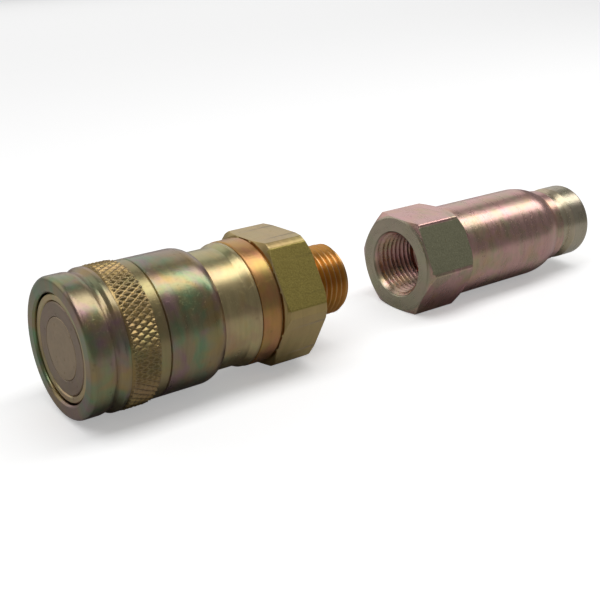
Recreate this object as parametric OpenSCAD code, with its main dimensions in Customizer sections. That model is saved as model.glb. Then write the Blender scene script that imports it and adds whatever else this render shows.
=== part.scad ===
// Flat-face quick coupling for a liquid cooling loop: a ball-lock coupler and its nipple.
// The coupler lies along +X with the middle of its flat face at the origin, and +Z is up.
// The nipple stands by itself behind the coupler, on the same surface, and points the same way.

/* [Probe and sockets] */
// Outside diameter of the nipple's probe, and of the valve sleeve it pushes in
probe_d = 24.8; // [22:0.1:28]
// Diameter of the flat discs that meet face to face
disc_d = 16.8; // [15:0.1:18]
// How far the probe goes in, which is the stroke of both valves
stroke = 20; // [16:0.5:24]
// Radial clearance of every sliding fit
run_gap = 0.08; // [0.05:0.01:0.1]

/* [Coupler body] */
// Wall of the barrel that holds the balls
barrel_wall = 3; // [2.8:0.1:3.4]
// How far the front of the barrel is turned down, to clear the sleeve's lip
rim_step = 1.08; // [0.6:0.02:1.4]
// Length of the collar that guides the back of the locking sleeve
guide_len = 3; // [2.5:0.1:4]
// Bare neck left between the flare and the sleeve when it is pulled back
neck_free = 3.3; // [0.3:0.1:5]
// Length of the flare at the back of the neck
flare_len = 2; // [1.5:0.1:3]
// Length of the plain flange behind the flare
flange_len = 1.2; // [1:0.1:2.5]
// Wall round the thread that takes the adapter
socket_wall = 2.2; // [1.8:0.1:2.6]

/* [Locking sleeve] */
// Wall round the spring chamber
sleeve_wall = 1.72; // [1.6:0.02:2.4]
// Travel of the sleeve when it is pulled back
sleeve_travel = 5.4; // [4:0.1:5.8]
// Travel forward into the locked place, free only when a probe is in
lock_travel = 3.6; // [3:0.1:4]
// How far the nose stands ahead of the flat face
nose_lead = 0.8; // [0.3:0.1:1.5]
// Length of the lip inside the nose, which keeps dirt off the balls
lip_len = 1.3; // [1:0.1:1.6]
// Length of the nose, up to the foot of the thumb groove
nose_len = 7.6; // [6:0.1:8.5]
// Depth of the thumb groove behind the nose
thumb_depth = 0.7; // [0.3:0.1:1]
// Length of the raised band in front of the knurl
band_len = 2; // [1.4:0.1:3]
// Length of the knurl
knurl_len = 8; // [6:0.5:9]
// How far the grip stands above the sleeve
grip_rise = 0.6; // [0.4:0.05:1]
// Length of the plain band behind the knurl
tail_band = 3; // [2:0.1:4]
// Depth of the V groove behind that band
vee_depth = 0.7; // [0.3:0.05:0.8]
// Radius of the curve at the back of the sleeve
tail_radius = 5.5; // [4:0.5:16]

/* [Balls] */
// Diameter of the locking balls
ball_d = 4; // [3.6:0.1:4.4]
// Number of locking balls
ball_count = 10; // [6:1:12]

/* [Springs] */
// Wire of the sleeve spring
sleeve_wire = 1.2; // [1:0.1:1.5]
// Turns of the sleeve spring
sleeve_turns = 5; // [4:1:5]
// Wire of the valve spring
valve_wire = 1.2; // [0.8:0.1:1.3]
// Turns of the valve spring
valve_turns = 8; // [6:1:9]
// Wire of the poppet spring
poppet_wire = 1.3; // [0.8:0.1:1.4]
// Turns of the poppet spring
poppet_turns = 11; // [8:1:13]

/* [Valves] */
// Thickness of both flat discs, with the groove of their seal
disc_t = 5; // [4.6:0.1:6]
// Length of the valve sleeve
valve_len = 19.6; // [18.6:0.1:22]
// Wall of the valve sleeve's skirt
skirt_wall = 2; // [1.6:0.1:2.2]
// Diameter of the coupler's stem behind its disc
stem_d = 8; // [7:0.1:10]
// Diameter of the stud at the back of the stem
stud_d = 6; // [5:0.1:6.4]
// Thickness of the carrier that holds the stem
carrier_t = 4; // [3:0.1:5]
// Diameter of the flow holes in the carrier
flow_hole_d = 4.8; // [3.5:0.1:5]
// Number of flow holes in the carrier
flow_hole_count = 6; // [4:1:6]
// Width over the flats of the stem nut
nut_af = 10; // [9:0.5:12]
// Height of the stem nut
nut_t = 4; // [3:0.1:4.5]

/* [Seals] */
// Cord of the seal that closes on the probe
seal_cord = 1.86; // [1.6:0.02:1.9]
// Thickness of the backup ring beside it
backup_t = 1.2; // [0.8:0.1:1.5]
// Cord of the small seals on both discs
disc_cord = 1.4; // [1.2:0.1:1.8]
// Cord of the seals at the two screwed joints
joint_cord = 1.4; // [1.2:0.1:1.6]

/* [Threaded adapter] */
// Length of the part that screws into the coupler body
spigot_len = 6.1; // [5:0.1:8]
// Diameter of the plain collar
collar_d = 35.8; // [35:0.1:38]
// Length of the plain collar
collar_len = 5.95; // [4:0.05:8]
// Width over the flats of the hexagon
adapter_af = 36; // [34:0.5:38]
// Diameter that the hexagon's corners are turned down to
adapter_corner_d = 40.2; // [39.4:0.1:42]
// Length of the hexagon
adapter_hex_len = 13.9; // [10:0.1:18]
// Turn of the hexagon about the axis
adapter_turn = 26.7; // [0:0.1:60]
// Outside diameter of the male thread
male_thread_d = 20.95; // [18:0.05:24]
// Length of the male thread with its relief
male_thread_len = 15.6; // [12:0.1:20]
// Diameter of the bore through the thread
adapter_bore_d = 13.5; // [10:0.1:14]

/* [Nipple] */
// Width over the flats of the nipple's hexagon
port_af = 30.2; // [30:0.1:34]
// Length of the nipple's hexagon
port_hex_len = 19; // [16:0.5:22]
// Diameter of the round part behind the hexagon
port_body_d = 29.9; // [29.2:0.1:30]
// Length of the hexagon and round part together
port_len = 63.3; // [60:0.1:70]
// Radius of the curve at the end of the round part
port_nose_radius = 18; // [12:0.5:24]
// Diameter of the tapped hole at its crests
port_hole_d = 18.63; // [16:0.01:19]
// Depth of the tapped hole
port_depth = 16; // [12:0.5:18]
// Length of the probe outside the round part
probe_reach = 16.7; // [16:0.1:20]
// Length of the flange at the probe's tip
tip_len = 8; // [7:0.1:9]
// Depth of the ball groove
groove_depth = 1.2; // [0.8:0.1:1.4]
// Thickness of the disc that guides the poppet
guide_t = 3; // [2:0.1:4]

/* [The pair as it lies] */
// Space between the end of the male thread and the nipple
pair_space = 32.3; // [10:0.1:60]
// How far the nipple lies to the side of the coupler's axis
pair_offset = 6; // [-10:0.5:10]

/* [Hidden] */
$fn = 96;
eps = 0.05;             // lets a cut run past the face it starts from
seat_gap = 0.03;        // between faces that are screwed or pressed together
part_line = 0.05;       // between the coupler body and the adapter's collar
spring_gap = 0.2;       // between a spring's wire and the wall beside it
lip_gap = 0.4;          // between the sleeve's lip and the rim inside it
chamber_gap = 1.8;      // room for the sleeve spring round the barrel

// radii of the coupler, from the middle outwards
probe_r = probe_d / 2;
disc_r = disc_d / 2;
disc_bore_r = disc_r + run_gap;
bore_r = probe_r + run_gap;
barrel_r = bore_r + barrel_wall;
rim_r = barrel_r - rim_step;
lip_r = rim_r + lip_gap;
land_r = barrel_r + run_gap;
chamber_r = barrel_r + chamber_gap;
guide_r = chamber_r - run_gap;
neck_r = guide_r - 0.4;
flange_r = chamber_r + 0.4;
sleeve_r = chamber_r + sleeve_wall;
grip_r = sleeve_r + grip_rise;
ball_track_r = probe_r + ball_d / 2 + 0.02;
relief_r = ball_track_r + ball_d / 2 + 0.3;
skirt_r = probe_r - skirt_wall;
socket_r = neck_r - socket_wall;
flow_ring_r = (stem_d / 2 + bore_r) / 2 + 0.6;
spigot_r = socket_r - seat_gap;

// places along the coupler's axis, from the flat face backwards
carrier_x = valve_len + stroke + 0.9;
spigot_x = carrier_x + carrier_t;
body_end = spigot_x + spigot_len;
flare_x = body_end - flange_len - flare_len;
sleeve_end = flare_x - sleeve_travel - neck_free;
stop_t = 1;
stop_x = sleeve_end - 1.5 - stop_t;
guide_x = stop_x - lock_travel - guide_len;
lip_end = lip_len - nose_lead;
rim_end = lip_end + sleeve_travel + 0.1;
ball_x = rim_end + rim_step + ball_d / 2 + 0.32;
lock_x = ball_x + ball_d / 2 + 0.2;
lock_end = lock_x + 3.8;
seal_x = ball_x + ball_d / 2 + 3.6;
seal_depth = seal_cord + 0.04;
seal_width = seal_cord + 0.24;
collar_x = body_end + part_line;
relief_x = collar_x + collar_len;
hex_x = relief_x + 0.5;
hex_end = hex_x + adapter_hex_len;
thread_end = hex_end + male_thread_len;
stud_end = spigot_x + nut_t + 1;
well_end = max(stud_end + 2, body_end + 3);

// places along the locking sleeve's outside
foot_x = nose_len - nose_lead;
band_x = foot_x + 1.6;
knurl_x = band_x + band_len;
tail_x = knurl_x + knurl_len;
vee_x = tail_x + tail_band;

// places along the nipple, from its mouth to its tip
port_body_r = port_body_d / 2;
tip_x = port_len + probe_reach;
web_end = port_depth + 8;
probe_start = web_end + guide_t + seat_gap;
probe_bore_r = disc_r + 1.4;
probe_seat_r = probe_r + 0.05;
port_nose_drop = port_body_r - probe_r - 0.2;
port_nose_run = sqrt(pow(port_nose_radius, 2) - pow(port_nose_radius - port_nose_drop, 2));
groove_end = tip_x - tip_len;
groove_len = 5.2;
collar_t = 1.8;
poppet_stop_x = tip_x - disc_t - 0.5;
poppet_back = poppet_stop_x - seat_gap - collar_t;
guide_hub_end = web_end + stroke + 8;
poppet_tail = web_end + stroke + 1.2;
poppet_stem_r = 4;
poppet_spring_r = 8;
nipple_at = [thread_end + pair_space, pair_offset, port_af / 2 - grip_r];

steel_olive = "DarkKhaki";
steel_rose = "RosyBrown";
steel_gold = "Goldenrod";
steel_bare = "LightSteelBlue";
seal_black = "DimGray";

// points of an arc about [x, r], as [x, r] pairs
function arc(x, r, radius, from, to, steps = 8) =
    [for (i = [0:steps]) let (a = from + (to - from) * i / steps)
        [x + radius * cos(a), r + radius * sin(a)]];

// a solid turned about the X axis from a list of [x, r] pairs
module turned(points) {
    rotate([0, 90, 0])
        rotate_extrude()
            polygon([for (p = points) [p[1], p[0]]]);
}

// a plain bore or shaft along X
module rod(x0, x1, r) {
    translate([x0, 0, 0])
        rotate([0, 90, 0])
            cylinder(h = x1 - x0, r = r);
}

// a ring turned about the X axis between two radii
module ring(x0, x1, r_in, r_out) {
    turned([[x0, r_in], [x1, r_in], [x1, r_out], [x0, r_out]]);
}

// a hexagonal bar along X, with a corner at the top before it is turned
module hex_bar(x0, x1, af, turn) {
    translate([x0, 0, 0])
        rotate([turn, 0, 0])
            rotate([0, 90, 0])
                linear_extrude(x1 - x0)
                    circle(d = af / cos(30), $fn = 6);
}

// a seal of round cord about the X axis
module cord_ring(x, r, cord) {
    translate([x, 0, 0])
        rotate([0, 90, 0])
            rotate_extrude()
                translate([r, 0])
                    circle(d = cord, $fn = 32);
}

// a compression spring along X, with a closed turn at each end
module spring(x0, x1, r, wire, turns) {
    sides = 8;
    per_turn = max(18, ceil(1.5 * r));
    rings = turns * per_turn;
    rise = 1.06 * wire;
    length = x1 - x0 - wire;
    pitch = (length - 2 * rise) / (turns - 2);
    function along(t) = t < 1 ? rise * t
        : t > turns - 1 ? length - rise * (turns - t)
        : rise + pitch * (t - 1);
    points = [for (i = [0:rings], j = [0:sides - 1])
        let (a = 360 * i / per_turn, b = 360 * j / sides,
            reach = r + wire / 2 * cos(b))
        [x0 + wire / 2 + along(i / per_turn) + wire / 2 * sin(b), reach * sin(a), reach * cos(a)]];
    walls = [for (i = [0:rings - 1], j = [0:sides - 1])
        let (k = (j + 1) % sides)
        [i * sides + j, i * sides + k, (i + 1) * sides + k, (i + 1) * sides + j]];
    caps = [[for (j = [sides - 1:-1:0]) j], [for (j = [0:sides - 1]) rings * sides + j]];
    polyhedron(points, concat(walls, caps));
}

// Coupler: the fixed parts

module coupler_body() {
    color(steel_olive)
        difference() {
            turned([[0, bore_r + 0.4], [0, rim_r - 0.25], [0.25, rim_r], [rim_end, rim_r],
                [rim_end + rim_step, barrel_r], [guide_x, barrel_r],
                [guide_x, guide_r - 0.3], [guide_x + 0.3, guide_r],
                [guide_x + guide_len, guide_r], [guide_x + guide_len, neck_r],
                [flare_x, neck_r], [flare_x + flare_len, flange_r],
                [body_end - 0.25, flange_r], [body_end, flange_r - 0.25],
                [body_end, socket_r + 0.3], [body_end - 0.3, socket_r],
                [carrier_x, socket_r], [carrier_x, bore_r], [0.4, bore_r]]);
            ball_holes();
            ring(seal_x, seal_x + seal_width + backup_t, bore_r - 1, bore_r + seal_depth);
        }
}

// each hole keeps a small lip inside, so that its ball cannot fall into the bore
module ball_holes() {
    for (i = [0:ball_count - 1])
        rotate([360 / ball_count * i, 0, 0])
            translate([ball_x, 0, 0]) {
                translate([0, 0, bore_r + 0.7])
                    cylinder(h = barrel_wall + 1, d = ball_d + 0.12);
                translate([0, 0, bore_r - 1])
                    cylinder(h = 3, d = ball_d - 0.2);
            }
}

module locking_balls() {
    color(steel_bare)
        for (i = [0:ball_count - 1])
            rotate([360 / ball_count * i, 0, 0])
                translate([ball_x, 0, ball_track_r])
                    sphere(d = ball_d);
}

module valve_stem() {
    color(steel_rose)
        difference() {
            turned([[0, 0], [0, disc_r - 0.15], [0.15, disc_r], [disc_t, disc_r],
                [disc_t + 2, stem_d / 2], [carrier_x - seat_gap, stem_d / 2],
                [carrier_x - seat_gap, stud_d / 2], [stud_end - 0.5, stud_d / 2],
                [stud_end, stud_d / 2 - 0.5], [stud_end, 0]]);
            disc_seal_groove(disc_t / 2);
        }
}

// the groove of the small seal, shared by both discs
module disc_seal_groove(x) {
    ring(x - disc_cord / 2 - 0.1, x + disc_cord / 2 + 0.1, disc_r - disc_cord, disc_r + 1);
}

module stem_seal() {
    color(seal_black)
        cord_ring(disc_t / 2, disc_r + 0.04 - disc_cord / 2, disc_cord);
}

module stem_carrier() {
    color(steel_bare)
        difference() {
            rod(carrier_x, spigot_x - seat_gap, socket_r - seat_gap);
            rod(carrier_x - eps, spigot_x + eps, stud_d / 2 + seat_gap);
            for (i = [0:flow_hole_count - 1])
                rotate([360 / flow_hole_count * i, 0, 0])
                    translate([0, 0, flow_ring_r])
                        rod(carrier_x - eps, spigot_x + eps, flow_hole_d / 2);
        }
}

module stem_nut() {
    color(steel_bare)
        difference() {
            intersection() {
                hex_bar(spigot_x, spigot_x + nut_t, nut_af, 0);
                turned([[spigot_x, 0], [spigot_x, nut_af / 2 + 0.4],
                    [spigot_x + 0.4, nut_af * 0.58], [spigot_x + nut_t - 0.4, nut_af * 0.58],
                    [spigot_x + nut_t, nut_af / 2 + 0.4], [spigot_x + nut_t, 0]]);
            }
            rod(spigot_x - eps, spigot_x + nut_t + eps, stud_d / 2 + seat_gap);
        }
}

module probe_seal() {
    color(seal_black)
        cord_ring(seal_x + seal_width / 2, bore_r + seal_depth / 2, seal_cord);
}

module backup_ring() {
    color("White")
        ring(seal_x + seal_width, seal_x + seal_width + backup_t - seat_gap,
            bore_r, bore_r + seal_depth - seat_gap);
}

module threaded_adapter() {
    collar_r = collar_d / 2;
    thread_r = male_thread_d / 2;
    bore = adapter_bore_d / 2;
    well_r = flow_ring_r + flow_hole_d / 2;
    color(steel_gold)
        difference() {
            union() {
                turned([[spigot_x, 0], [spigot_x, spigot_r - 0.4], [spigot_x + 0.4, spigot_r],
                    [collar_x, spigot_r], [collar_x, collar_r - 0.3], [collar_x + 0.3, collar_r],
                    [relief_x - 0.2, collar_r], [relief_x, collar_r - 0.2],
                    [relief_x, collar_r - 0.7], [hex_x + 1, collar_r - 0.7],
                    [hex_end - 1, thread_r - 1], [hex_end + 0.5, thread_r - 1],
                    [hex_end + 1.5, thread_r], [thread_end - 1, thread_r],
                    [thread_end, thread_r - 1], [thread_end, 0]]);
                intersection() {
                    hex_bar(hex_x, hex_end, adapter_af, adapter_turn);
                    adapter_hex_blank();
                }
            }
            turned([[spigot_x - eps, 0], [spigot_x - eps, well_r], [well_end, well_r],
                [well_end + (well_r - bore) * 0.6, bore], [thread_end - 0.9, bore],
                [thread_end + eps, bore + 0.95], [thread_end + eps, 0]]);
            ring(body_end - 0.3 - joint_cord - 0.2, body_end - 0.3,
                socket_r - joint_cord - 0.04, socket_r + 1);
        }
}

// the hexagon's corners are turned back to a cone at both ends
module adapter_hex_blank() {
    corner = adapter_corner_d / 2;
    front = adapter_af / 2 + 0.3;
    back = adapter_af / 2 + 0.9;
    turned([[hex_x, 0], [hex_x, front], [hex_x + (corner - front) * 0.6, corner],
        [hex_end - (corner - back) * 0.6, corner], [hex_end, back], [hex_end, 0]]);
}

module adapter_seal() {
    color(seal_black)
        cord_ring(body_end - 0.4 - joint_cord / 2, socket_r - 0.02 - joint_cord / 2, joint_cord);
}

// Coupler: the moving parts

module locking_sleeve() {
    nose_x = -nose_lead;
    round = 1.3;
    foot_r = sleeve_r - thumb_depth;
    wall_end = sqrt(pow(tail_radius, 2) - pow(tail_radius - sleeve_wall + 0.3, 2));
    tail_from = sleeve_end - wall_end;
    vee_half = vee_depth * 0.45;
    color(steel_olive)
        difference() {
            turned(concat(
                [[lip_end, lip_r], [nose_x + 0.5, lip_r], [nose_x, lip_r + 0.5]],
                arc(nose_x + round, sleeve_r - round, round, 180, 90),
                [[foot_x - 2.2, sleeve_r], [foot_x - 1.4, sleeve_r - thumb_depth * 0.2],
                    [foot_x - 0.6, sleeve_r - thumb_depth * 0.75], [foot_x, foot_r],
                    [foot_x + 0.7, foot_r], [band_x, grip_r - 0.35],
                    [band_x + 0.3, grip_r - 0.2], [knurl_x - 0.7, grip_r - 0.2],
                    [knurl_x - 0.45, sleeve_r - 0.1], [knurl_x - 0.1, sleeve_r - 0.1],
                    [knurl_x, grip_r - 0.3], [knurl_x + 0.3, grip_r],
                    [tail_x - 0.3, grip_r], [tail_x, grip_r - 0.3], [tail_x + 0.1, sleeve_r],
                    [vee_x - vee_half, sleeve_r], [vee_x, sleeve_r - vee_depth],
                    [vee_x + vee_half, sleeve_r]],
                arc(tail_from, sleeve_r - tail_radius, tail_radius, 90,
                    90 - asin(wall_end / tail_radius)),
                [[sleeve_end, chamber_r], [lock_end, chamber_r], [lock_end, land_r],
                    [lock_x, land_r], [lock_x - 0.5, relief_r], [lip_end, relief_r]]));
            ring(stop_x - seat_gap, stop_x + stop_t + seat_gap, chamber_r - 1, chamber_r + 0.45);
        }
}

module sleeve_stop_ring() {
    color(steel_bare)
        ring(stop_x, stop_x + stop_t, neck_r + run_gap, chamber_r + 0.42);
}

module sleeve_spring() {
    color(steel_bare)
        spring(lock_end + seat_gap, guide_x - seat_gap, (barrel_r + chamber_r) / 2,
            sleeve_wire, sleeve_turns);
}

module valve_sleeve() {
    seat_x = disc_t + 1;
    color(steel_rose)
        turned([[0.15, disc_bore_r], [0, disc_bore_r + 0.15], [0, probe_r - 0.25],
            [0.25, probe_r], [valve_len - 0.3, probe_r], [valve_len, probe_r - 0.3],
            [valve_len, skirt_r + 0.2], [valve_len - 0.2, skirt_r],
            [seat_x, skirt_r], [seat_x, disc_bore_r]]);
}

module valve_spring() {
    color(steel_bare)
        spring(disc_t + 1 + seat_gap, carrier_x - seat_gap, skirt_r - spring_gap * 2 - valve_wire / 2,
            valve_wire, valve_turns);
}

// Nipple: drawn from its mouth, then laid in its place

module port_body() {
    corner = port_af / 2 / cos(30);
    hole_r = port_hole_d / 2;
    front = port_af / 2 - 0.2;
    nose_from = port_len - port_nose_run;
    color(steel_rose)
        translate(nipple_at)
            difference() {
                union() {
                    turned(concat(
                        [[1, 0], [1, port_body_r - 2], [port_hex_len - 2, port_body_r - 1],
                            [port_hex_len + 1, port_body_r]],
                        arc(nose_from, port_body_r - port_nose_radius, port_nose_radius, 90,
                            90 - asin(port_nose_run / port_nose_radius)),
                        [[port_len, 0]]));
                    intersection() {
                        hex_bar(0, port_hex_len + 1, port_af, 30);
                        turned([[0, 0], [0, front], [(corner - front) * 0.6, corner],
                            [port_hex_len - 1.8, corner], [port_hex_len + 0.6, port_body_r + 0.1],
                            [port_hex_len + 0.9, port_body_r - 0.5], [port_hex_len + 0.9, 0]]);
                    }
                }
                turned([[-eps, 0], [-eps, hole_r + 1.45], [1.4, hole_r], [port_depth, hole_r],
                    [port_depth + 1, hole_r - 1.3], [web_end, hole_r - 1.3],
                    [web_end, probe_seat_r], [port_len + eps, probe_seat_r],
                    [port_len + eps, 0]]);
            }
}

module probe() {
    color(steel_rose)
        translate(nipple_at)
            difference() {
                turned(concat(
                    [[probe_start, probe_bore_r], [probe_start, probe_r - 0.4],
                        [probe_start + 0.4, probe_r],
                        [groove_end - groove_len, probe_r],
                        [groove_end - groove_len + groove_depth, probe_r - groove_depth],
                        [groove_end - groove_depth, probe_r - groove_depth],
                        [groove_end, probe_r]],
                    arc(tip_x - 1.3, probe_r - 1.3, 1.3, 90, 0),
                    [[tip_x, disc_bore_r + 0.15], [tip_x - 0.15, disc_bore_r],
                        [poppet_stop_x, disc_bore_r], [poppet_stop_x, probe_bore_r]]));
                ring(port_len - 8, port_len - 8 + joint_cord + 0.2,
                    probe_seat_r - joint_cord - 0.04, probe_r + 1);
            }
}

module probe_joint_seal() {
    color(seal_black)
        translate(nipple_at)
            cord_ring(port_len - 8 + joint_cord / 2 + 0.1, probe_seat_r - 0.02 - joint_cord / 2,
                joint_cord);
}

// the disc is flush with the probe's tip, and the notched collar behind it lets the coolant past
module poppet() {
    color(steel_rose)
        translate(nipple_at)
            difference() {
                turned([[poppet_tail, 0], [poppet_tail, poppet_stem_r - 0.5],
                    [poppet_tail + 0.5, poppet_stem_r], [poppet_back, poppet_stem_r],
                    [poppet_back, probe_bore_r - run_gap],
                    [poppet_back + collar_t, probe_bore_r - run_gap],
                    [poppet_back + collar_t, disc_r], [tip_x - 0.15, disc_r],
                    [tip_x, disc_r - 0.15], [tip_x, 0]]);
                disc_seal_groove(tip_x - disc_t / 2);
                for (i = [0:5])
                    rotate([60 * i, 0, 0])
                        translate([poppet_back - eps, -1.6, poppet_spring_r - 0.4])
                            cube([collar_t + 2 * eps, 3.2, 4]);
            }
}

module poppet_seal() {
    color(seal_black)
        translate(nipple_at)
            cord_ring(tip_x - disc_t / 2, disc_r + 0.04 - disc_cord / 2, disc_cord);
}

module poppet_spring() {
    color(steel_bare)
        translate(nipple_at)
            spring(web_end + guide_t + seat_gap, poppet_back - seat_gap, poppet_spring_r - 0.4,
                poppet_wire, poppet_turns);
}

// a disc with flow holes, and a tube that the poppet's stem runs in
module poppet_guide() {
    hub_r = poppet_stem_r + 2;
    color(steel_bare)
        translate(nipple_at)
            difference() {
                turned([[web_end, poppet_stem_r + run_gap], [web_end, probe_r - seat_gap],
                    [web_end + guide_t, probe_r - seat_gap], [web_end + guide_t, hub_r],
                    [guide_hub_end, hub_r], [guide_hub_end, poppet_stem_r + run_gap]]);
                for (i = [0:5])
                    rotate([60 * i, 0, 0])
                        translate([0, 0, hub_r + 2])
                            rod(web_end - eps, web_end + guide_t + eps, 1.5);
            }
}

coupler_body();
locking_sleeve();
sleeve_stop_ring();
sleeve_spring();
locking_balls();
valve_stem();
stem_seal();
valve_sleeve();
valve_spring();
stem_carrier();
stem_nut();
probe_seal();
backup_ring();
threaded_adapter();
adapter_seal();
port_body();
probe();
probe_joint_seal();
poppet();
poppet_seal();
poppet_spring();
poppet_guide();
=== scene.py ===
# %% [markdown]
# # Flat-face quick coupling: a ball-lock coupler and its nipple
#
# The solids come from the CAD source. This script gives them their plated steel, adds the
# cut detail that a turned solid leaves out (the knurl, both threads and the broken edges of
# the hexagons), and lights the pair as it lies on a plain pale floor.
#
# Everything is in metres in the frame of the CAD: +X runs along the coupler from its flat
# face, +Z is up. Sizes are written in millimetres and scaled once, where a mesh is made.

import math

import bmesh
import bpy
import numpy as np
from mathutils import Matrix, Vector


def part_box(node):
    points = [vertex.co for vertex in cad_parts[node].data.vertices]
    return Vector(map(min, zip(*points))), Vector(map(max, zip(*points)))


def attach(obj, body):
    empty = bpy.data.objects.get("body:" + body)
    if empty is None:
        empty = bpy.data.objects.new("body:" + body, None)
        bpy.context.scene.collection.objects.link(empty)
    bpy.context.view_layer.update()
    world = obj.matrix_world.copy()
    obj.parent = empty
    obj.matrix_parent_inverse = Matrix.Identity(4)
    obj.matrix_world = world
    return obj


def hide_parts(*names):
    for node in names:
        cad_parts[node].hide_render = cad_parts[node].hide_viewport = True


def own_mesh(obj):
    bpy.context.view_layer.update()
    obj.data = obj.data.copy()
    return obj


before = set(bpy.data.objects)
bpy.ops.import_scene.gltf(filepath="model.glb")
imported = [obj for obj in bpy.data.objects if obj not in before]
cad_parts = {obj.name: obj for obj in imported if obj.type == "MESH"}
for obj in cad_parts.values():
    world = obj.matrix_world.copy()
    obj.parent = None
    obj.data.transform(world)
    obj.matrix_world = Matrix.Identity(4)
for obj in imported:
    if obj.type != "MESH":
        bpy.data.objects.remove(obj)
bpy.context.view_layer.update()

# %% [markdown]
# ## Sizes shared with the CAD source
#
# Only the sizes that the new meshes need are repeated here. The nipple's axis stands 6 mm
# behind the coupler's and 4.5 mm lower, because both halves rest on the same floor.

# %%
MM = 0.001
FLOOR_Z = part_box("locking_sleeve")[0].z
probe_low, probe_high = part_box("probe")
NIPPLE = np.array([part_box("port_body")[0].x, (probe_low.y + probe_high.y) / 2,
                   (probe_low.z + probe_high.z) / 2]) / MM
COUPLER_AXIS = (0.0, 0.0, 0.0)
NIPPLE_AXIS = (0.0, float(NIPPLE[1]), float(NIPPLE[2]))

# Locking sleeve, from the coupler's face
SLEEVE_RADIUS, SLEEVE_END = 19.0, 38.7
KNURL_START, KNURL_LENGTH, KNURL_RADIUS = 10.4, 8.0, 19.6
BAND_END, GROOVE_END = 21.08, 21.72
TAIL_RADIUS, TAIL_DROP = 5.5, 1.42

# Threaded adapter, from the coupler's face
HEX_START, HEX_END, ADAPTER_END = 57.1, 71.0, 86.6
HEX_FLATS, HEX_CORNER_RADIUS, HEX_TURN = 36.0, 20.1, -26.7
HEX_FRONT_RADIUS, HEX_BACK_RADIUS = 18.3, 18.9
THREAD_CREST, THREAD_ROOT = 10.475, 9.42

# Nipple body, from its mouth
PORT_FLATS, PORT_CORNER_RADIUS, PORT_TURN = 30.2, 17.3, 30.0
PORT_FACE_RADIUS, PORT_RADIUS, PORT_END = 14.9, 14.95, 63.3
SHOULDER_RADIUS, SHOULDER_DROP = 18.0, 2.35
MOUTH_DEPTH, TAP_DEPTH = 0.25, 16.0
TAP_CREST, TAP_ROOT = 9.315, 10.48

# Both threads are half-inch parallel pipe threads, and both hexagons have the same corners.
THREAD_PITCH = 1.814
CORNER_ROUND = 0.55
CONE_SLOPE = 0.6
print("nipple at", [round(float(v), 2) for v in NIPPLE], "floor at", round(FLOOR_Z / MM, 2))

# %% [markdown]
# ## Arithmetic inside node trees
#
# A node tree is a program, and its sums are easier to follow as sums. `Value` wraps one
# socket, so that `a * b + c` adds the Math nodes that work it out.

# %%
def put(tree, kind, inputs=(), **settings):
    """Adds a node; inputs is a dict of socket name or number to a value, a socket or a Value."""
    made = tree.nodes.new(kind)
    for key, setting in settings.items():
        setattr(made, key, setting)
    for key, given in dict(inputs).items():
        feed(tree, made.inputs[key], given)
    return made


def feed(tree, socket, given):
    """Sets a socket to a plain value, or links it to a socket or a Value."""
    given = getattr(given, "socket", given)
    if isinstance(given, bpy.types.NodeSocket):
        tree.links.new(given, socket)
    else:
        socket.default_value = given


class Value:
    """One number inside a node tree."""

    def __init__(self, tree, socket):
        self.tree, self.socket = tree, socket

    def math(self, operation, *others, clamp=False):
        inputs = dict(enumerate((self, *others)))
        made = put(self.tree, "ShaderNodeMath", inputs, operation=operation, use_clamp=clamp)
        return Value(self.tree, made.outputs[0])

    def __add__(self, other):
        return self.math("ADD", other)

    def __sub__(self, other):
        return self.math("SUBTRACT", other)

    def __rsub__(self, other):
        return (self * -1.0) + other

    def __mul__(self, other):
        return self.math("MULTIPLY", other)

    def __truediv__(self, other):
        return self.math("DIVIDE", other)

    __radd__, __rmul__ = __add__, __mul__

    def least(self, other):
        return self.math("MINIMUM", other)

    def most(self, other):
        return self.math("MAXIMUM", other)

    def share(self, low=0.0, high=1.0):
        """0 below low, 1 above high, and even in between."""
        return ((self - low) / (high - low)).math("ADD", 0.0, clamp=True)

    def between(self, low, high, soft):
        """1 where the value lies between two others, with soft ends."""
        return self.share(low - soft, low + soft) * (1.0 - self.share(high - soft, high + soft))


def value_of(node, output=0):
    """One output of a node as a Value in the node's own tree."""
    return Value(node.id_data, node.outputs[output])


def vector_math(tree, operation, first, second):
    """A VectorMath node; the second input is a plain factor when the operation is SCALE."""
    key = "Scale" if operation == "SCALE" else 1
    return put(tree, "ShaderNodeVectorMath", {0: first, key: second}, operation=operation)


def mix(tree, factor, first, second):
    """The colour that lies a factor of the way from the first one to the second."""
    inputs = {"Factor": factor, 6: first, 7: second}
    return put(tree, "ShaderNodeMix", inputs, data_type="RGBA").outputs[2]


def group(name, kind, inputs, outputs):
    """A new node group with named sockets; returns the tree, its input node and output node."""
    tree = bpy.data.node_groups.new(name, kind)
    for label, socket_type, start in inputs:
        made = tree.interface.new_socket(label, in_out="INPUT", socket_type=socket_type)
        if start is not None:
            made.default_value = start
    for label, socket_type in outputs:
        tree.interface.new_socket(label, in_out="OUTPUT", socket_type=socket_type)
    return tree, tree.nodes.new("NodeGroupInput"), tree.nodes.new("NodeGroupOutput")


FLOAT, WHOLE = "NodeSocketFloat", "NodeSocketInt"
VECTOR, COLOUR = "NodeSocketVector", "NodeSocketColor"
MATERIAL, GEOMETRY = "NodeSocketMaterial", "NodeSocketGeometry"
SHADER, SHAPE = "ShaderNodeTree", "GeometryNodeTree"

# %% [markdown]
# ## Shared effects of turned, plated steel
#
# Both halves are turned from bar and plated with zinc, then dipped in a yellow chromate. The
# chromate is a film thin enough to colour by interference, so the steel goes from olive to
# green, rose and gold without any paint. Each effect is a group that gives out colours,
# masks or heights; the metal itself stays in the material.
#
# `round_the_axis` gives every point its place along its own axis, its radius, and a unit
# direction round the axis, which has no seam. Places and radii are in millimetres.

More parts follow.
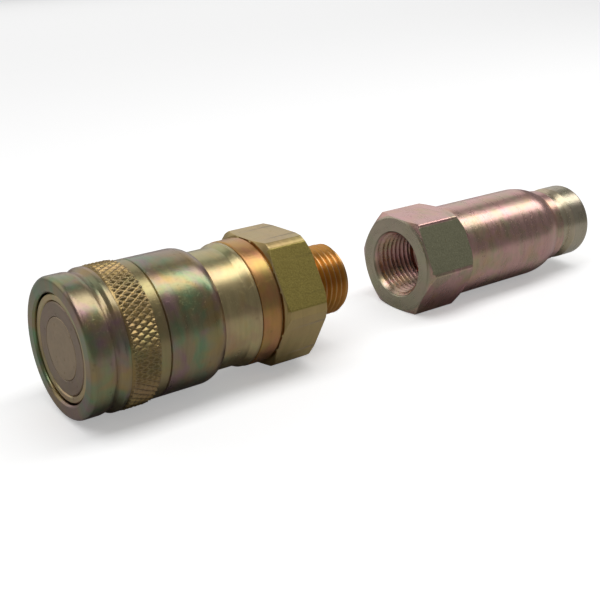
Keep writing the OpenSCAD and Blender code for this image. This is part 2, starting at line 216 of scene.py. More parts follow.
# %%
SMALLEST_RADIUS = 0.001

axis_tree, given, result = group(
    "round_the_axis", SHADER, [("Axis", VECTOR, None)],
    [("Along", FLOAT), ("Radius", FLOAT), ("Around", VECTOR), ("Place", VECTOR)])
where = put(axis_tree, "ShaderNodeTexCoord")
in_mm = vector_math(axis_tree, "SCALE", where.outputs["Object"], 1 / MM)
local = vector_math(axis_tree, "SUBTRACT", in_mm.outputs[0], given.outputs["Axis"])
parts = put(axis_tree, "ShaderNodeSeparateXYZ", {0: local.outputs[0]})
across, upward = value_of(parts, 1), value_of(parts, 2)
radius = (across * across + upward * upward).math("SQRT").most(SMALLEST_RADIUS)
around = put(axis_tree, "ShaderNodeCombineXYZ", {1: across / radius, 2: upward / radius})
feed(axis_tree, result.inputs["Along"], parts.outputs[0])
feed(axis_tree, result.inputs["Radius"], radius)
feed(axis_tree, result.inputs["Around"], around.outputs[0])
feed(axis_tree, result.inputs["Place"], local.outputs[0])

# %% [markdown]
# `turning_lines` is what the lathe tool leaves: fine rings. Along plus radius rises steadily
# both on a cylinder and on an end face, so one sum serves both. The rings wander a little
# round the axis, so they don't look printed. The tone is the same rings, broader.

# %%
RING_NOISE = {"Scale": 1.0, "Detail": 2.0, "Roughness": 0.6}

lines_tree, given, result = group(
    "turning_lines", SHADER,
    [("Along", FLOAT, 0.0), ("Radius", FLOAT, 1.0), ("Around", VECTOR, None),
     ("Pitch", FLOAT, 0.3)],
    [("Height", FLOAT), ("Tone", FLOAT)])
rings_passed = (value_of(given, "Along") + value_of(given, "Radius")) / value_of(given, "Pitch")
for label, slow, wander in (("Height", 1.0, 0.8), ("Tone", 0.17, 1.6)):
    drift = vector_math(lines_tree, "SCALE", given.outputs["Around"], wander)
    step = put(lines_tree, "ShaderNodeCombineXYZ", {0: rings_passed * slow})
    place = vector_math(lines_tree, "ADD", step.outputs[0], drift.outputs[0])
    rings = put(lines_tree, "ShaderNodeTexNoise", {"Vector": place.outputs[0], **RING_NOISE})
    feed(lines_tree, result.inputs[label], rings.outputs[0])

# %% [markdown]
# `chromate_tint` mixes the film's colours over the base colour in broad soft patches, with
# the rose gaining where the surface turns away, as a thin film does.

# %%
PATCH_NOISE = {"Scale": 1.7, "Detail": 3.0, "Roughness": 0.55, "Distortion": 0.5}
PATCHES_PER_MM = 0.06

tint_tree, given, result = group(
    "chromate_tint", SHADER,
    [("Along", FLOAT, 0.0), ("Around", VECTOR, None), ("Base", COLOUR, None),
     ("Green", COLOUR, None), ("Rose", COLOUR, None), ("Gold", COLOUR, None),
     ("Amount", FLOAT, 0.6), ("Turned Away", FLOAT, 0.0), ("Seed", FLOAT, 0.0)],
    [("Color", COLOUR)])
drawn = put(tint_tree, "ShaderNodeCombineXYZ", {0: value_of(given, "Along") * PATCHES_PER_MM})
place = vector_math(tint_tree, "ADD", given.outputs["Around"], drawn.outputs[0])
colour = given.outputs["Base"]
for label, shift, low, high in (("Gold", 3.1, 0.50, 0.66), ("Green", 11.7, 0.48, 0.64),
                                ("Rose", 23.9, 0.50, 0.66)):
    patch = put(tint_tree, "ShaderNodeTexNoise",
                {"Vector": place.outputs[0], **PATCH_NOISE, "W": value_of(given, "Seed") + shift},
                noise_dimensions="4D")
    mask = value_of(patch).share(low, high) * value_of(given, "Amount")
    if label == "Rose":
        mask = mask.most(value_of(given, "Turned Away") * value_of(given, "Amount"))
    colour = mix(tint_tree, mask, colour, given.outputs[label])
feed(tint_tree, result.inputs["Color"], colour)

# %% [markdown]
# `broken_edges` rounds the light over a sharp edge and gives a mask of the edges, where
# tumbling in the plating barrel leaves the film thin and bright.

# %%
edge_tree, given, result = group("broken_edges", SHADER, [("Width", FLOAT, 0.0003)],
                                 [("Normal", VECTOR), ("Edge", FLOAT)])
rounded = put(edge_tree, "ShaderNodeBevel", {"Radius": given.outputs["Width"]}, samples=4)
flat = put(edge_tree, "ShaderNodeNewGeometry")
bend = vector_math(edge_tree, "DOT_PRODUCT", rounded.outputs[0], flat.outputs["Normal"])
feed(edge_tree, result.inputs["Normal"], rounded.outputs[0])
feed(edge_tree, result.inputs["Edge"], (1.0 - value_of(bend, "Value")).share(0.01, 0.2))

# %% [markdown]
# `handling_marks` is what a workshop adds: short fine scratches that cross the turning lines,
# and small dull specks in the film. Only some of the specks' cells get one.

# %%
SPECK_SCALE = 0.45

marks_tree, given, result = group("handling_marks", SHADER, [("Place", VECTOR, None)],
                                  [("Scratches", FLOAT), ("Specks", FLOAT)])
scratches = []
for angle, stretch in ((0.5, (0.22, 3.4, 3.4)), (-0.9, (0.3, 4.2, 4.2))):
    turned_place = put(marks_tree, "ShaderNodeVectorRotate",
                       {"Vector": given.outputs["Place"], "Angle": angle}, rotation_type="Y_AXIS")
    drawn = vector_math(marks_tree, "MULTIPLY", turned_place.outputs[0], stretch)
    streak = put(marks_tree, "ShaderNodeTexNoise",
                 {"Vector": drawn.outputs[0], "Scale": 1.0, "Detail": 1.0})
    scratches.append(value_of(streak).share(0.69, 0.74))
cells = put(marks_tree, "ShaderNodeTexVoronoi",
            {"Vector": given.outputs["Place"], "Scale": SPECK_SCALE})
chance = put(marks_tree, "ShaderNodeSeparateColor", {0: cells.outputs["Color"]})
speck = (1.0 - value_of(cells, "Distance").share(0.1, 0.24)) * value_of(chance).share(0.72, 0.78)
feed(marks_tree, result.inputs["Scratches"], scratches[0].most(scratches[1]))
feed(marks_tree, result.inputs["Specks"], speck)

# %% [markdown]
# `drawn_grain` is the rough skin of hexagonal bar that was never turned: a granular, slightly
# pitted surface.

# %%
GRAIN_SHARE, PIT_SHARE = 0.7, 0.3
PIT_SCALE = 0.6

grain_tree, given, result = group("drawn_grain", SHADER,
                                  [("Place", VECTOR, None), ("Scale", FLOAT, 2.2)],
                                  [("Height", FLOAT), ("Tone", FLOAT)])
fine = put(grain_tree, "ShaderNodeTexNoise",
           {"Vector": given.outputs["Place"], "Scale": given.outputs["Scale"],
            "Detail": 4.0, "Roughness": 0.7})
pits = put(grain_tree, "ShaderNodeTexVoronoi",
           {"Vector": given.outputs["Place"], "Scale": value_of(given, "Scale") * PIT_SCALE})
feed(grain_tree, result.inputs["Height"],
     value_of(fine) * GRAIN_SHARE + value_of(pits, "Distance").share(0.0, 0.5) * PIT_SHARE)
feed(grain_tree, result.inputs["Tone"], fine.outputs[0])
print("shared effects:", len(bpy.data.node_groups))

# %% [markdown]
# ## Materials
#
# Each slot of the record gets its own material. All the plated ones share one recipe and
# differ in the film's colours, in how coarse the turning is and in which flat is rough bar;
# that flat also gets a darker colour, which is painted shade.

# %%
EDGE_COLOUR, EDGE_AMOUNT, EDGE_WIDTH = (232, 222, 196), 0.35, 0.00025
SPECK_COLOUR, SPECK_AMOUNT = (110, 100, 72), 0.15
ZONE_AMOUNT = 0.75
FLAT_COSINE = (0.885, 0.895)    # over cos 30 degrees, so it ends just inside the corners
FLAT_SOFT = 0.1


def colour_of(red, green, blue):
    """A colour given as it looks on a screen, 0 to 255."""
    return tuple(((c / 255 + 0.055) / 1.055) ** 2.4 for c in (red, green, blue)) + (1.0,)


def blank(name):
    """An empty material with its tree and output node."""
    made = bpy.data.materials.new(name)
    made.use_nodes = True
    made.node_tree.nodes.clear()
    return made, made.node_tree, made.node_tree.nodes.new("ShaderNodeOutputMaterial")


def use(tree, shared, inputs=()):
    """A node that runs a shared group."""
    made = tree.nodes.new("ShaderNodeGroup")
    made.node_tree = shared
    for key, value in dict(inputs).items():
        feed(tree, made.inputs[key], value)
    return made


def on_flat(tree, here, low, high, turn):
    """1 on the flat of a hexagon that faces turn degrees from +Z to -Y, over its length."""
    normal = (0.0, -math.sin(math.radians(turn)), math.cos(math.radians(turn)))
    facing = vector_math(tree, "DOT_PRODUCT", here.outputs["Around"], normal)
    return value_of(here, "Along").between(low, high, FLAT_SOFT) \
        * value_of(facing, "Value").share(*FLAT_COSINE)


def plated(name, axis, base, green, rose, gold, amount=0.6, rough=0.3, pitch=0.3, lines=0.25,
           seed=0.0, zones=(), grainy_shaded_flat=None):
    """Zinc with a yellow chromate film over turned or drawn steel.

    zones are (measure, low, high, soft, colour): the film's colour over a length or between two
    radii. The last argument, (low, high, turn, colour), is one flat of the hexagon: drawn bar with
    its real rough grain, in a darker colour that is painted shade.
    """
    made, tree, out = blank(name)
    here = use(tree, axis_tree, {"Axis": axis})
    along, around, place = (here.outputs[label] for label in ("Along", "Around", "Place"))
    turning = use(tree, lines_tree, {"Along": along, "Radius": here.outputs["Radius"],
                                     "Around": around, "Pitch": pitch})
    edges = use(tree, edge_tree, {"Width": EDGE_WIDTH})
    marks = use(tree, marks_tree, {"Place": place})
    skin = use(tree, grain_tree, {"Place": place})
    away = put(tree, "ShaderNodeLayerWeight", {"Blend": 0.35})
    tint = use(tree, tint_tree, {
        "Along": along, "Around": around, "Amount": amount, "Seed": seed,
        "Base": colour_of(*base), "Green": colour_of(*green),
        "Rose": colour_of(*rose), "Gold": colour_of(*gold),
        "Turned Away": value_of(away, "Facing").math("POWER", 2.0)})

    film = tint.outputs["Color"]
    for measure, low, high, soft, colour in zones:
        mask = value_of(here, measure).between(low, high, soft) * ZONE_AMOUNT
        film = mix(tree, mask, film, colour_of(*colour))
    shade = 0.8 + value_of(turning, "Tone") * 0.4
    grain_and_shade = 0.0
    # On the one flat the grain of drawn bar is real texture, and its darker colour is painted
    # shade.
    if grainy_shaded_flat:
        low, high, turn, colour = grainy_shaded_flat
        grain_and_shade = on_flat(tree, here, low, high, turn)
        film = mix(tree, grain_and_shade, film, colour_of(*colour))
        shade = shade * (1.0 - grain_and_shade) + grain_and_shade * (0.35 + value_of(skin, "Tone") * 1.3)

    toned = vector_math(tree, "SCALE", film, shade)
    bright = mix(tree, value_of(edges, "Edge") * EDGE_AMOUNT, toned.outputs[0],
                 colour_of(*EDGE_COLOUR))
    dull = mix(tree, value_of(marks, "Specks") * SPECK_AMOUNT, bright, colour_of(*SPECK_COLOUR))
    height = value_of(turning, "Height") * lines + value_of(marks, "Scratches") * -0.25 \
        + value_of(skin, "Height") * grain_and_shade
    bump = put(tree, "ShaderNodeBump", {"Height": height, "Normal": edges.outputs["Normal"],
                                        "Strength": 0.5, "Distance": 0.00012})
    roughness = rough + grain_and_shade * 0.2 + value_of(turning, "Tone") * 0.08 \
        + value_of(marks, "Specks") * 0.12 + value_of(marks, "Scratches") * 0.08
    metal = put(tree, "ShaderNodeBsdfPrincipled",
                {"Base Color": dull, "Metallic": 1.0, "Roughness": roughness,
                 "Normal": bump.outputs[0]})
    tree.links.new(metal.outputs[0], out.inputs[0])
    return made


looks = {
    "sleeve_plating": plated(
        "sleeve_plating", COUPLER_AXIS,
        base=(156, 142, 110), green=(112, 156, 118), rose=(160, 122, 134), gold=(172, 146, 92),
        amount=0.75, rough=0.25, lines=0.4, seed=1.0,
        zones=(("Along", 10.0, 18.5, 0.2, (154, 128, 78)),
               ("Along", 18.5, 21.4, 0.2, (166, 150, 104)))),
    "coupler_plating": plated(
        "coupler_plating", COUPLER_AXIS,
        base=(196, 178, 132), green=(160, 178, 130), rose=(184, 144, 124), gold=(204, 170, 102),
        amount=0.5, rough=0.25, lines=0.4, seed=4.0),
    "face_plating": plated(
        "face_plating", COUPLER_AXIS,
        base=(152, 132, 114), green=(146, 138, 110), rose=(154, 126, 118), gold=(164, 142, 106),
        amount=0.35, rough=0.32, pitch=0.22, lines=0.35, seed=7.0,
        zones=(("Radius", -1.0, 8.42, 0.05, (176, 154, 124)),)),
    "adapter_plating": plated(
        "adapter_plating", COUPLER_AXIS,
        base=(196, 148, 94), green=(176, 164, 92), rose=(196, 130, 104), gold=(208, 162, 84),
        rough=0.27, lines=0.35, seed=9.0,
        zones=(("Along", 57.0, 71.1, 0.1, (184, 168, 116)),
               ("Along", 71.1, 90.0, 0.1, (204, 144, 70))),
        # The flat that faces the camera: its rough grain is real, its darker colour is painted
        # shade.
        grainy_shaded_flat=(57.6, 71.05, 56.7, (166, 150, 84))),
    "nipple_plating": plated(
        "nipple_plating", NIPPLE_AXIS,
        base=(212, 172, 162), green=(172, 176, 132), rose=(222, 164, 168), gold=(204, 172, 124),
        rough=0.24, lines=0.35, seed=13.0,
        zones=(("Along", 100.0, 119.3, 0.2, (168, 168, 142)),
               ("Along", 186.0, 191.4, 0.3, (196, 190, 160)),
               ("Along", 191.4, 204.0, 0.3, (184, 184, 158))),
        # The flat that faces the camera: its rough grain is real, its darker colour is painted
        # shade.
        grainy_shaded_flat=(119.8, 138.0, 60.0, (156, 154, 126))),
}
print("plated:", ", ".join(looks))

# %% [markdown]
# The springs and balls are bare hardened steel, the seals are black nitrile rubber, and the
# backup ring is white PTFE. None of them shows from the outside while the coupling is apart.

# %%
made, tree, out = blank("bare_steel")
here = use(tree, axis_tree, {"Axis": COUPLER_AXIS})
marks = use(tree, marks_tree, {"Place": here.outputs["Place"]})
skin = use(tree, grain_tree, {"Place": here.outputs["Place"], "Scale": 1.1})
bump = put(tree, "ShaderNodeBump",
           {"Height": marks.outputs["Scratches"], "Strength": 0.2, "Distance": 0.00005})
metal = put(tree, "ShaderNodeBsdfPrincipled",
            {"Base Color": mix(tree, skin.outputs["Tone"], colour_of(150, 150, 150),
                               colour_of(196, 196, 198)),
             "Metallic": 1.0, "Normal": bump.outputs[0],
             "Roughness": 0.22 + value_of(skin, "Tone") * 0.12})
tree.links.new(metal.outputs[0], out.inputs[0])
looks["bare_steel"] = made

for name, dark, light, rough in (("seal_rubber", (20, 20, 20), (40, 40, 40), 0.55),
                                 ("backup_plastic", (214, 210, 200), (236, 234, 228), 0.4)):
    made, tree, out = blank(name)
    here = use(tree, axis_tree, {"Axis": COUPLER_AXIS})
    skin = use(tree, grain_tree, {"Place": here.outputs["Place"], "Scale": 1.6})
    bump = put(tree, "ShaderNodeBump",
               {"Height": skin.outputs["Height"], "Strength": 0.3, "Distance": 0.00008})
    soft = put(tree, "ShaderNodeBsdfPrincipled",
               {"Base Color": mix(tree, skin.outputs["Tone"], colour_of(*dark),
                                  colour_of(*light)),
                "Normal": bump.outputs[0],
                "Roughness": rough + value_of(skin, "Tone") * 0.15})
    tree.links.new(soft.outputs[0], out.inputs[0])
    looks[name] = made
print("materials:", len(looks))

# %% [markdown]
# ## Turned meshes
#
# A turned part is one profile of [x, r] points swept round its axis. `eased` breaks every
# corner of the profile a little, as a lathe hand does with a file, because a bare corner
# catches no light. `skinned` takes one profile for each direction round the axis, so the
# same call also makes a hexagon whose corners were turned back to a cone.

# %%
WELD = 2e-6
SHARP_ANGLE = math.radians(38)
SLEEVE_EASE, BODY_EASE = 0.08, 0.12
SLEEVE_SPOKES = 240


def eased(points, radius, steps=3):
    """The open profile with every inner corner rounded; always steps + 1 points a corner."""
    points = np.asarray(points, float)
    made = [points[0]]
    for before, corner, after in zip(points, points[1:], points[2:]):
        to_before, to_after = before - corner, after - corner
        run_before, run_after = np.linalg.norm(to_before), np.linalg.norm(to_after)
        reach = min(radius, 0.45 * run_before, 0.45 * run_after)
        start = corner + to_before * reach / max(run_before, 1e-9)
        end = corner + to_after * reach / max(run_after, 1e-9)
        for t in np.linspace(0, 1, steps + 1):
            made.append((1 - t) ** 2 * start + 2 * t * (1 - t) * corner + t * t * end)
    made.append(points[-1])
    return np.array(made)


def skinned(angles, profiles, centre=(0.0, 0.0, 0.0)):
    """A bmesh from one closed profile for each angle round the X axis."""
    bm = bmesh.new()
    columns = []
    for angle, profile in zip(angles, profiles):
        columns.append([bm.verts.new(((centre[0] + x) * MM,
                                      (centre[1] + r * math.sin(angle)) * MM,
                                      (centre[2] + r * math.cos(angle)) * MM))
                        for x, r in profile])
    count = len(columns[0])
    for one, two in zip(columns, columns[1:] + columns[:1]):
        for i in range(count):
            j = (i + 1) % count
            bm.faces.new((one[i], one[j], two[j], two[i]))
    bmesh.ops.remove_doubles(bm, verts=bm.verts, dist=WELD)
    bmesh.ops.recalc_face_normals(bm, faces=bm.faces)
    return bm


def turned(points, spokes, ease):
    """A bmesh of a solid turned on the coupler's axis; points is its closed outline."""
    profile = eased(points, ease)
    angles = np.linspace(0, 2 * math.pi, spokes, endpoint=False)
    return skinned(angles, [profile] * spokes)


def finish_piece(name, bm, body, replaced, slot_name):
    """Makes the mesh an object, shades it by its flat faces, and hands it to the frame."""
    mesh = bpy.data.meshes.new(name)
    bm.to_mesh(mesh)
    bm.free()
    mesh.shade_smooth()
    mesh.set_sharp_from_angle(angle=SHARP_ANGLE)
    rough = bpy.data.objects.new(name + "_blank", mesh)
    bpy.context.scene.collection.objects.link(rough)
    rough.modifiers.new("by_area", "WEIGHTED_NORMAL").keep_sharp = True
    piece = bpy.data.objects.new(name, baked(rough))
    bpy.data.objects.remove(rough)
    bpy.context.scene.collection.objects.link(piece)
    piece.data.materials.clear()
    piece.data.materials.append(looks[slot_name])
    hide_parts(replaced)
    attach(piece, body)
    print(name, "faces", len(piece.data.polygons))
    return piece


def baked(source):
    """The evaluated mesh of an object, with its modifiers in it."""
    graph = bpy.context.evaluated_depsgraph_get()
    return bpy.data.meshes.new_from_object(source.evaluated_get(graph), depsgraph=graph)

# %% [markdown]
# ## The knurl, as a rule
#
# A knurl is two families of V grooves that cross on a band. On the real sleeve a pair of
# wheels presses them in; here the height of each point is its distance from the nearer
# groove, cut flat at the top because the wheels stop short of a point. The band's own
# chamfers cut the outer diamonds away. The diamonds are 1.9 mm wide and 3.2 mm long, and
# each of them spans the same number of steps of the grid both ways.

# %%
DIAMOND_STEPS = 8


def shape_tree(name, inputs):
    """A Geometry Nodes tree that makes its own mesh: the tree, named values, a closing call."""
    tree, given, result = group(name, SHAPE, inputs + [("Material", MATERIAL, None)],
                                [("Geometry", GEOMETRY)])
    values = {label: value_of(given, label) for label, _, _ in inputs}

    def close(geometry):
        merged = put(tree, "GeometryNodeMergeByDistance", {"Geometry": geometry, "Distance": WELD})
        whole = put(tree, "GeometryNodeRealizeInstances", {"Geometry": merged.outputs[0]})
        coated = put(tree, "GeometryNodeSetMaterial",
                     {"Geometry": whole.outputs[0], "Material": given.outputs["Material"]})
        tree.links.new(coated.outputs[0], result.inputs["Geometry"])

    return tree, values, close


def sheet(tree, rows, columns):
    """A grid, with the share of the way along it and round it for each of its points."""
    grid = put(tree, "GeometryNodeMeshGrid",
               {"Size X": 1.0, "Size Y": 1.0, "Vertices X": rows, "Vertices Y": columns})
    position = put(tree, "GeometryNodeInputPosition")
    place = put(tree, "ShaderNodeSeparateXYZ", {0: position.outputs[0]})
    return grid.outputs["Mesh"], value_of(place, 0) + 0.5, value_of(place, 1) + 0.5


def wrapped(tree, mesh, along, reach, turn):
    """The mesh with each point set at a place along X, a radius and a share of a turn."""
    angle = turn * (2 * math.pi)
    point = put(tree, "ShaderNodeCombineXYZ", {0: along, 1: reach * angle.math("SINE"),
                                               2: reach * angle.math("COSINE")})
    moved = put(tree, "GeometryNodeSetPosition", {"Geometry": mesh, "Position": point.outputs[0]})
    return moved.outputs[0]


knurl_tree, size, close = shape_tree("knurl", [
    ("Start", FLOAT, 0.0), ("Length", FLOAT, 0.008), ("Radius", FLOAT, 0.02),
    ("Depth", FLOAT, 0.0005), ("Around", WHOLE, 64), ("Steps", WHOLE, 20), ("Flat", FLOAT, 0.12),
    ("Chamfer", FLOAT, 0.0003)])
mesh, down, round_ = sheet(knurl_tree, size["Steps"] + 1, size["Around"] * DIAMOND_STEPS + 1)
row, place = down * size["Steps"] / float(DIAMOND_STEPS), round_ * size["Around"]
one_groove, other_groove = (row + place).math("PINGPONG", 0.5), (row - place).math("PINGPONG", 0.5)
height = (one_groove.least(other_groove) * 2 / (1.0 - size["Flat"])).least(1.0)
from_end = down.least(1.0 - down) * size["Length"]
height = height.least(from_end / size["Chamfer"])
close(wrapped(knurl_tree, mesh, size["Start"] + down * size["Length"],
              size["Radius"] - size["Depth"] * (1.0 - height), round_))

# %% [markdown]
# ## The threads, as a rule
#
# A thread is a ridge wound at its pitch. The grid is sheared by one pitch in each turn, so its
# rows follow the ridge and the flanks stay straight; at both ends a lead-in takes the ridge
# down to the root, as the die or tap leaves it. With the crest inside the root the same rule
# cuts the thread of the tapped hole.

# %%
THREAD_ROWS, THREAD_SPOKES = 12, 192
FLANK_SLOPE, CREST_SHARE = 2.2, 0.05

thread_tree, size, close = shape_tree("thread", [
    ("Start", FLOAT, 0.0), ("Length", FLOAT, 0.014), ("Pitch", FLOAT, 0.001814),
    ("Crest", FLOAT, 0.0105), ("Root", FLOAT, 0.0095), ("Turns", WHOLE, 10),
    ("Lead In", FLOAT, 0.001), ("Lead Out", FLOAT, 0.001)])
mesh, down, round_ = sheet(thread_tree, size["Turns"] * THREAD_ROWS + 1, THREAD_SPOKES + 1)
phase = down * size["Turns"]
travel = ((phase + round_ - 1.0) * size["Pitch"]).most(0.0).least(size["Length"])
depth = (phase.math("PINGPONG", 0.5) * FLANK_SLOPE - CREST_SHARE).math("ADD", 0.0, clamp=True)
depth = depth.most(1.0 - travel / size["Lead In"])
depth = depth.most(1.0 - (size["Length"] - travel) / size["Lead Out"])
close(wrapped(thread_tree, mesh, size["Start"] + travel,
              size["Crest"] + (size["Root"] - size["Crest"]) * depth, round_))


def grown(tree, centre=(0.0, 0.0, 0.0), outward=True, **sizes):
    """Runs a tree with the sizes given in its named inputs, and returns the mesh as a bmesh."""
    holder = bpy.data.objects.new("holder", bpy.data.meshes.new("holder"))
    bpy.context.scene.collection.objects.link(holder)
    modifier = holder.modifiers.new("made", "NODES")
    modifier.node_group = tree
    for item in tree.interface.items_tree:
        key = item.name.lower().replace(" ", "_")
        if item.in_out == "INPUT" and key in sizes:
            modifier[item.identifier] = sizes[key]
    bm = bmesh.new()
    bm.from_mesh(baked(holder))
    bpy.data.objects.remove(holder)
    bmesh.ops.translate(bm, verts=bm.verts, vec=Vector(centre) * MM)
    bm.faces.ensure_lookup_table()
    face = bm.faces[len(bm.faces) // 2]
    spoke = face.calc_center_median() - Vector(centre) * MM
    if (face.normal.dot(Vector((0, spoke.y, spoke.z))) > 0) != outward:
        bmesh.ops.reverse_faces(bm, faces=bm.faces)
    return bm


def joined(whole, part):
    """Two bmeshes as one."""
    mesh = bpy.data.meshes.new("part")
    part.to_mesh(mesh)
    part.free()
    whole.from_mesh(mesh)
    bpy.data.meshes.remove(mesh)
    return whole

# %% [markdown]
# ## Locking sleeve
#
# The sleeve is pulled back to let go of the nipple. Its outline is the CAD one: the rounded
# nose, the thumb groove, the raised band, the knurl, the plain band, the V groove and the
# long plain part with its rounded tail. The core runs under the knurled band.

# %%
def arc(x, r, radius, start, end, steps=10):
    """Points of an arc about [x, r], in degrees from +X."""
    return [(x + radius * math.cos(math.radians(a)), r + radius * math.sin(math.radians(a)))
            for a in np.linspace(start, end, steps + 1)]


NOSE_ROUND = 1.3
tail_turn = math.degrees(math.acos((TAIL_RADIUS - TAIL_DROP) / TAIL_RADIUS))
nose = arc(0.5, SLEEVE_RADIUS - NOSE_ROUND, NOSE_ROUND, 180, 90)
thumb_groove = [(4.6, SLEEVE_RADIUS), (5.4, 18.86), (6.2, 18.475), (6.8, 18.3), (7.5, 18.3)]
raised_band = [(8.4, 19.25), (8.7, 19.4), (9.7, 19.4), (9.95, 18.9), (10.3, 18.9)]
v_groove = [(BAND_END, SLEEVE_RADIUS), ((BAND_END + GROOVE_END) / 2, SLEEVE_RADIUS - 0.7),
            (GROOVE_END, SLEEVE_RADIUS)]
tail = arc(SLEEVE_END - TAIL_RADIUS * math.sin(math.radians(tail_turn)),
           SLEEVE_RADIUS - TAIL_RADIUS, TAIL_RADIUS, 90, 90 - tail_turn)
inside = [(SLEEVE_END, 17.28), (15.4, 17.28), (15.4, 15.56), (11.6, 15.56), (11.1, 16.72),
          (0.5, 16.72)]
sleeve_outline = ([(0.5, 14.8), (-0.3, 14.8), (-0.8, 15.3)] + nose + thumb_groove + raised_band
                  + [(10.42, SLEEVE_RADIUS)] + v_groove + tail + inside)
sleeve = joined(turned(sleeve_outline, SLEEVE_SPOKES, SLEEVE_EASE),
                grown(knurl_tree, start=KNURL_START * MM, length=KNURL_LENGTH * MM,
                      radius=KNURL_RADIUS * MM, depth=0.59 * MM, around=64, steps=20, flat=0.12,
                      chamfer=0.35 * MM))
finish_piece("sleeve_knurled", sleeve, "sleeve", "locking_sleeve", "sleeve_plating")

# %% [markdown]
# ## Threaded adapter
#
# A hexagon turned back at both ends shows a curve on each flat, where the cone meets it.
# Each direction round the axis has its own profile: the cone is followed until it reaches
# the flat at that direction, so the curve falls on the mesh's own edges. The thread and the
# bore are turned about the same axis.

# %%
def hexagon(across_flats, turn, corner_radius):
    """Directions round the axis, close together at the corners, and the hexagon's reach there."""
    half = math.radians(30)
    centre = (across_flats / 2 - CORNER_ROUND) / math.cos(half)
    tangent = math.atan2(CORNER_ROUND * math.sin(half), centre + CORNER_ROUND * math.cos(half))
    land = half - math.acos(min(1.0, across_flats / 2 / corner_radius))
    near = sorted({0.0, tangent / 2, tangent, land * 0.8, land, land * 1.2,
                   *np.linspace(land * 1.2, half, 12)})
    angles, reaches = [], []
    for corner in range(6):
        for side, run in ((-1, near[:0:-1]), (1, near[:-1])):
            for away in run:
                if away <= tangent:
                    reach = centre * math.cos(away) \
                        + math.sqrt(CORNER_ROUND ** 2 - (centre * math.sin(away)) ** 2)
                else:
                    reach = across_flats / 2 / math.cos(half - away)
                angles.append(math.radians(turn + 60 * corner) + side * away)
                reaches.append(min(reach, corner_radius))
    return angles, reaches


def cone_place(reach, face, start, run):
    """How far along the axis a cone that starts at a face's radius meets the flat."""
    return face + run * max(0.0, reach - start)


def adapter_profile(reach):
    """The adapter's closed outline in a direction where its hexagon reaches this far."""
    collar = [(44.5, 11.24), (44.5, 14.2), (44.9, 14.57), (50.65, 14.57), (50.65, 17.6),
              (50.95, 17.9), (56.4, 17.9), (56.6, 17.7), (56.6, 17.2), (HEX_START, 17.2)]
    hexagonal = [(HEX_START, min(reach, HEX_FRONT_RADIUS)),
                 (cone_place(reach, HEX_START, HEX_FRONT_RADIUS, CONE_SLOPE), reach),
                 (cone_place(reach, HEX_END, HEX_BACK_RADIUS, -CONE_SLOPE), reach),
                 (HEX_END, min(reach, HEX_BACK_RADIUS))]
    core_and_bore = [(HEX_END, 9.4), (ADAPTER_END, 9.4), (ADAPTER_END, 7.7), (85.7, 6.75),
                     (56.3, 6.75), (53.6, 11.24)]
    return eased(collar + hexagonal + core_and_bore, BODY_EASE)


angles, reaches = hexagon(HEX_FLATS, HEX_TURN, HEX_CORNER_RADIUS)
adapter = joined(skinned(angles, [adapter_profile(reach) for reach in reaches]),
                 grown(thread_tree, start=HEX_END * MM, length=(ADAPTER_END - HEX_END) * MM,
                       pitch=THREAD_PITCH * MM, crest=THREAD_CREST * MM, root=THREAD_ROOT * MM,
                       turns=10, lead_in=1.5 * MM, lead_out=1.1 * MM))
finish_piece("adapter_hex_and_thread", adapter, "fixed_parts", "threaded_adapter",
             "adapter_plating")

# %% [markdown]
# ## Nipple body
#
# The nipple's body is hexagonal bar turned round behind the spanner flats. Its mouth is
# countersunk and tapped, and its far end is rounded down to the probe. Behind the flats a
# cone of 45 degrees takes the corners down to the round part.

# %%
shoulder_run = math.sqrt(SHOULDER_RADIUS ** 2 - (SHOULDER_RADIUS - SHOULDER_DROP) ** 2)
shoulder = arc(PORT_END - shoulder_run, PORT_RADIUS - SHOULDER_RADIUS, SHOULDER_RADIUS, 90,
               90 - math.degrees(math.asin(shoulder_run / SHOULDER_RADIUS)))


def port_profile(reach):
    """The nipple body's closed outline in a direction where its hexagon reaches this far."""
    hexagonal = [(0.0, 10.77), (0.0, min(reach, PORT_FACE_RADIUS)),
                 (cone_place(reach, 0.0, PORT_FACE_RADIUS, CONE_SLOPE), reach),
                 (17.2 + 17.44 - reach, reach), (19.75, 14.93), (21.0, PORT_RADIUS)]
    bore = [(PORT_END, 12.45), (24.0, 12.45), (24.0, 8.015), (17.0, 8.015), (TAP_DEPTH, 9.2),
            (TAP_DEPTH, 10.52), (MOUTH_DEPTH, 10.52)]
    return eased(hexagonal + shoulder + bore, BODY_EASE)


angles, reaches = hexagon(PORT_FLATS, PORT_TURN, PORT_CORNER_RADIUS)
port = joined(skinned(angles, [port_profile(reach) for reach in reaches], NIPPLE),
              grown(thread_tree, NIPPLE, outward=False, start=MOUTH_DEPTH * MM,
                    length=(TAP_DEPTH - MOUTH_DEPTH) * MM, pitch=THREAD_PITCH * MM,
                    crest=TAP_CREST * MM, root=TAP_ROOT * MM, turns=10, lead_in=1.4 * MM,
                    lead_out=1.2 * MM))
finish_piece("nipple_hex_body", port, "fixed_parts", "port_body", "nipple_plating")

# %% [markdown]
# ## Springs
#
# Each spring is a wire wound on a rule: closed turns at both ends and an even pitch between
# them. The sleeve's spring pushes it back over the balls, and the two long ones hold the
# valves shut.

# %%
COIL_STEPS, WIRE_SIDES = 36, 10
CLOSED_PITCH = 1.06             # a closed turn rises a little more than its wire is thick

